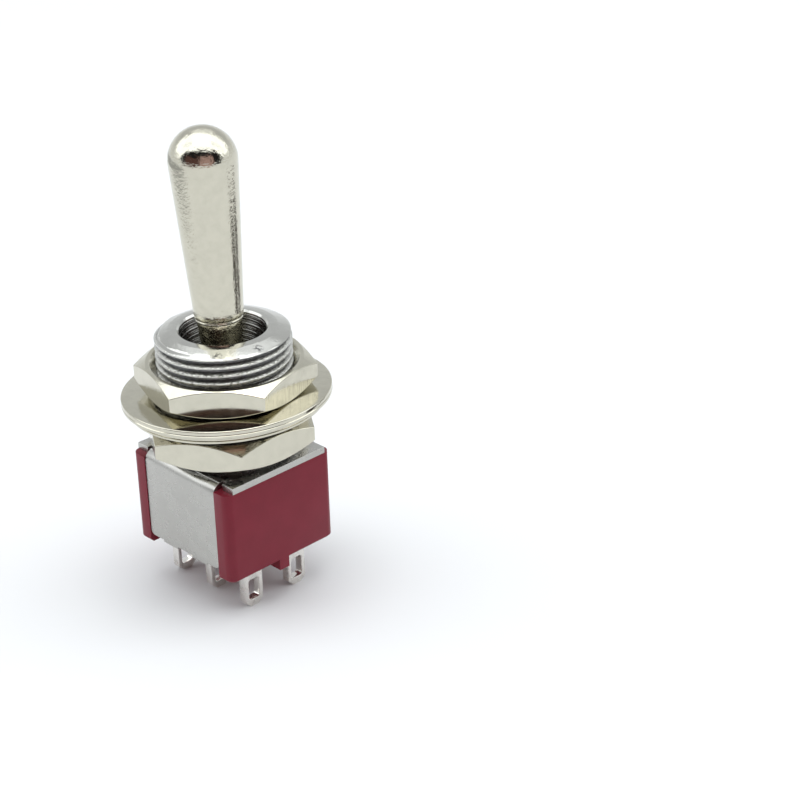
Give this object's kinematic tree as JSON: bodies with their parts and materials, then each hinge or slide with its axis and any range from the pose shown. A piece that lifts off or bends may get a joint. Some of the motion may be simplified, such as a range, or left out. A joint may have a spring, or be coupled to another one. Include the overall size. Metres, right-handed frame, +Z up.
{
  "type": "panel toggle switch",
  "caption": "Miniature panel toggle switch with a bat lever, a threaded bushing with nuts and washers, a red case in a folded steel frame, and solder lugs in two rows.",
  "frame": {"origin": "on the bushing's axis, at the level of the six terminal tips", "axes": "+Z up the bushing's axis towards the lever's tip; the lever swings in the XZ plane, and the three terminals of each pole lie along X"},
  "size_m": [0.0186, 0.0186, 0.0428],
  "materials": {
    "case_red": "moulded thermoset, wine red, satin",
    "frame_steel": "tinned sheet steel, matte grey",
    "nickel_plate": "turned brass, bright nickel plate",
    "lever_nickel": "turned brass, satin nickel plate, polished tip",
    "terminal_silver": "stamped brass, silver plate",
    "contact_silver": "silver alloy button, satin",
    "rocker_brass": "rolled brass strip",
    "spring_steel": "drawn steel, bright",
    "actuator_nylon": "moulded nylon, natural"
  },
  "bodies": {
    "housing": {"case": "case_red", "frame": "frame_steel", "bushing": "nickel_plate", "rear_nut": "nickel_plate", "front_nut": "nickel_plate", "flat_washer": "nickel_plate", "lock_washer": "nickel_plate", "common_terminal_near": "terminal_silver", "throw_terminal_near_left": "terminal_silver", "fixed_contact_near_left": "contact_silver", "throw_terminal_near_right": "terminal_silver", "fixed_contact_near_right": "contact_silver", "common_terminal_far": "terminal_silver", "throw_terminal_far_left": "terminal_silver", "fixed_contact_far_left": "contact_silver", "throw_terminal_far_right": "terminal_silver", "fixed_contact_far_right": "contact_silver"},
    "lever": {"lever": "lever_nickel", "pivot_pin": "spring_steel", "lever_spring": "spring_steel"},
    "actuator": {"actuator": "actuator_nylon"},
    "rocker_near": {"rocker_near": "rocker_brass", "moving_contacts_near": "contact_silver"},
    "rocker_far": {"rocker_far": "rocker_brass", "moving_contacts_far": "contact_silver"}
  },
  "joints": [
    {"name": "lever_hinge", "type": "hinge", "parent": "housing", "child": "lever", "pos_m": [0, 0, 0.0188], "axis": [0, 1, 0], "range_deg": [-9.6, 15.4]},
    {"name": "actuator_slide", "type": "slide", "parent": "lever", "child": "actuator", "axis": [-0.0506, 0, 0.9987], "range_m": [0, 0.0004], "stiffness_N_per_m": 300, "springref_m": -0.0003, "deforming": ["lever_spring"]},
    {"name": "rocker_near_hinge", "type": "hinge", "parent": "housing", "child": "rocker_near", "pos_m": [0, -0.00255, 0.0066], "axis": [0, 1, 0], "range_deg": [-8.7, 5.45]},
    {"name": "rocker_far_hinge", "type": "hinge", "parent": "housing", "child": "rocker_far", "pos_m": [0, 0.00255, 0.0066], "axis": [0, 1, 0], "range_deg": [-8.7, 5.45]}
  ],
  "couplings": [
    {"joint": "rocker_near_hinge", "follows": "lever_hinge", "ratio": -0.56},
    {"joint": "rocker_far_hinge", "follows": "lever_hinge", "ratio": -0.56}
  ]
}
